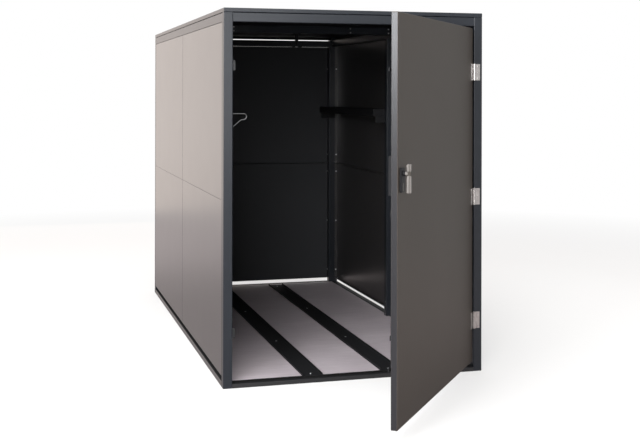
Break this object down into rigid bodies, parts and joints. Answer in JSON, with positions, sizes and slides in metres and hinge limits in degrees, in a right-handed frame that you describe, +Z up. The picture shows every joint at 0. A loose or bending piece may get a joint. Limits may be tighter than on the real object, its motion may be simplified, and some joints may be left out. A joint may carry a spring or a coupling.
{
  "type": "bicycle locker",
  "caption": "Lockable sheet-metal box for a bicycle: square-tube frame, panelled walls, flat roof tray, wheel rails, inner shelf and hooks, and a tall hinged door with a turning rod lock.",
  "frame": {"origin": "Middle of the locker's footprint, on the ground.", "axes": "+Z up, +Y runs into the locker from the door to the rear wall, +X to the right of someone who faces the door. At rest the door stands open by 52.5 degrees, as in the picture."},
  "size_m": [1.32, 3.5758, 1.8],
  "materials": {
    "frame_paint": "satin powder coat, dark blue-grey",
    "panel_paint": "satin powder coat, dark blue-grey",
    "door_paint": "satin powder coat, dark grey",
    "galvanised": "dull zinc coat",
    "floor_sheet": "light grey compact laminate with a dark core",
    "black_paint": "matt black powder coat",
    "stainless": "brushed stainless steel",
    "zinc": "bright zinc plate",
    "nickel": "dark satin nickel"
  },
  "bodies": {
    "cabinet": {"corner_post_front_left": "frame_paint", "corner_post_front_right": "frame_paint", "corner_post_rear_left": "frame_paint", "corner_post_rear_right": "frame_paint", "mid_post_left": "frame_paint", "mid_post_right": "frame_paint", "door_lintel": "frame_paint", "side_top_rail_left": "frame_paint", "side_top_rail_right": "frame_paint", "rear_top_beam": "frame_paint", "roof_cross_beam": "frame_paint", "front_sill": "frame_paint", "side_sill_left": "frame_paint", "side_sill_right": "frame_paint", "rear_sill": "frame_paint", "roof_spacers": "frame_paint", "side_panel_left_front_lower": "panel_paint", "side_panel_left_front_upper": "panel_paint", "side_panel_left_rear_lower": "panel_paint", "side_panel_left_rear_upper": "panel_paint", "side_panel_right_front_lower": "panel_paint", "side_panel_right_front_upper": "panel_paint", "side_panel_right_rear_lower": "panel_paint", "side_panel_right_rear_upper": "panel_paint", "rear_panel_lower": "panel_paint", "rear_panel_upper": "panel_paint", "roof_sheet": "panel_paint", "floor_bearers": "galvanised", "anchor_plates": "galvanised", "upper_keeper": "galvanised", "lower_keeper": "galvanised", "floor_plate_front": "floor_sheet", "floor_plate_middle": "floor_sheet", "floor_plate_rear": "floor_sheet", "wheel_rail_left": "black_paint", "wheel_rail_right": "black_paint", "wall_shelf": "black_paint", "ceiling_hook": "black_paint", "shelf_brackets": "black_paint", "frame_hinge_leaves": "stainless", "hinge_pins": "stainless", "frame_hinge_screws": "stainless", "frame_screws": "zinc", "rail_screws": "zinc", "wire_hook": "zinc"},
    "door": {"door_outer_skin": "door_paint", "door_inner_skin": "door_paint", "door_stiffeners": "door_paint", "door_hinge_leaves": "stainless", "door_hinge_screws": "stainless", "lock_case": "black_paint", "lock_escutcheon": "black_paint", "lock_cylinder": "nickel", "rod_guides": "black_paint"},
    "handle": {"turn_handle": "stainless", "lock_cam": "black_paint"},
    "upper_rod": {"upper_lock_rod": "black_paint"},
    "lower_rod": {"lower_lock_rod": "black_paint"},
    "key_plug": {"cylinder_core": "nickel"}
  },
  "joints": [
    {"name": "door_swing", "type": "hinge", "parent": "cabinet", "child": "door", "pos_m": [0.614, -1.308, 0.9], "axis": [0, 0, 1], "range_deg": [-52.5, 122.5]},
    {"name": "handle_turn", "type": "hinge", "parent": "door", "child": "handle", "pos_m": [-0.10434, -2.24416, 1.075], "axis": [-0.7934, 0.6088, 0], "range_deg": [-90, 0]},
    {"name": "upper_rod_slide", "type": "slide", "parent": "door", "child": "upper_rod", "axis": [0, 0, 1], "range_m": [0, 0.022]},
    {"name": "lower_rod_slide", "type": "slide", "parent": "door", "child": "lower_rod", "axis": [0, 0, -1], "range_m": [0, 0.022]},
    {"name": "plug_turn", "type": "hinge", "parent": "door", "child": "key_plug", "pos_m": [-0.10434, -2.24416, 1.028], "axis": [-0.7934, 0.6088, 0], "range_deg": [0, 90]}
  ],
  "couplings": [
    {"joint": "upper_rod_slide", "follows": "handle_turn", "m_per_rad": -0.014},
    {"joint": "lower_rod_slide", "follows": "handle_turn", "m_per_rad": -0.014}
  ]
}
